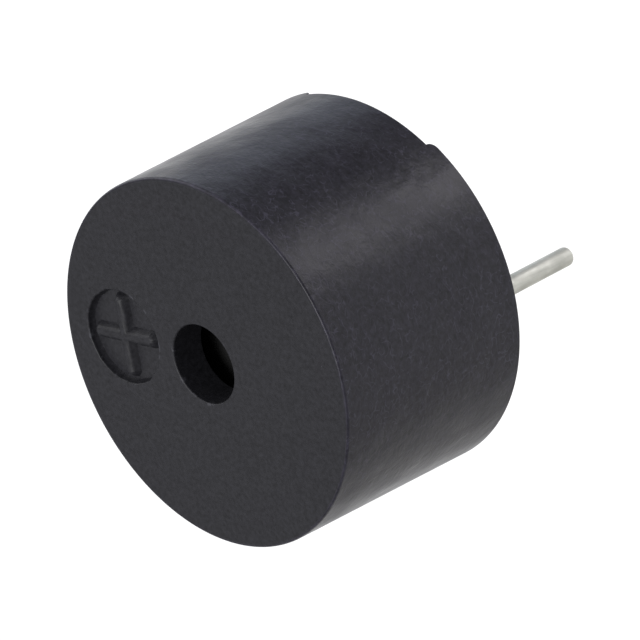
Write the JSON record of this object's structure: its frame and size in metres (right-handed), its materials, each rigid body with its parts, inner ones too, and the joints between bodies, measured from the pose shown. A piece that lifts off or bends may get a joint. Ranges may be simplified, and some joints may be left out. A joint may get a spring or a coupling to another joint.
{
  "type": "piezo buzzer",
  "caption": "Small round buzzer for a circuit board: a black moulded cup with a central sound hole and a polarity mark on its face, closed with resin round its solder pins.",
  "frame": {"origin": "middle of the pin line, on the plane of the rim's feet, which seats on the circuit board", "axes": "+Z along the body's axis, out through the sound face; +X from the middle to the negative pin, with the polarity mark within a degree of -X"},
  "size_m": [0.012, 0.012, 0.0119],
  "materials": {
    "housing_plastic": "glass-filled moulding, satin to matt",
    "tinned_wire": "dull tin",
    "resin": "self-levelled, slightly glossy",
    "plate_brass": "rolled",
    "piezo_ceramic": "fired, lapped",
    "silver_film": "fired silver, matt",
    "silicone": "cured bead",
    "board": "solder-masked laminate",
    "copper": "bare foil",
    "chip_mould": "moulded epoxy",
    "chip_ceramic": "fired alumina with tinned ends",
    "lead_tin": "bright tin",
    "solder": "smooth solder",
    "wire_enamel": "enamelled copper"
  },
  "bodies": {
    "root": {"housing": "housing_plastic", "pin_negative": "tinned_wire", "pin_positive": "tinned_wire", "sealing_resin": "resin", "piezo_plate": "plate_brass", "piezo_ceramic": "piezo_ceramic", "main_electrode": "silver_film", "feedback_electrode": "silver_film", "bond_ring": "silicone", "circuit_board": "board", "board_pads": "copper", "transistor": "chip_mould", "collector_lead": "lead_tin", "base_lead": "lead_tin", "emitter_lead": "lead_tin", "bias_resistor": "chip_ceramic", "feedback_resistor": "chip_ceramic", "load_resistor": "chip_ceramic", "plate_wire": "wire_enamel", "main_wire": "wire_enamel", "feedback_wire": "wire_enamel", "plate_wire_joint": "solder", "main_wire_joint": "solder", "feedback_wire_joint": "solder", "plate_board_joint": "solder", "main_board_joint": "solder", "feedback_board_joint": "solder", "pin_negative_joint": "solder", "pin_positive_joint": "solder"}
  },
  "joints": []
}
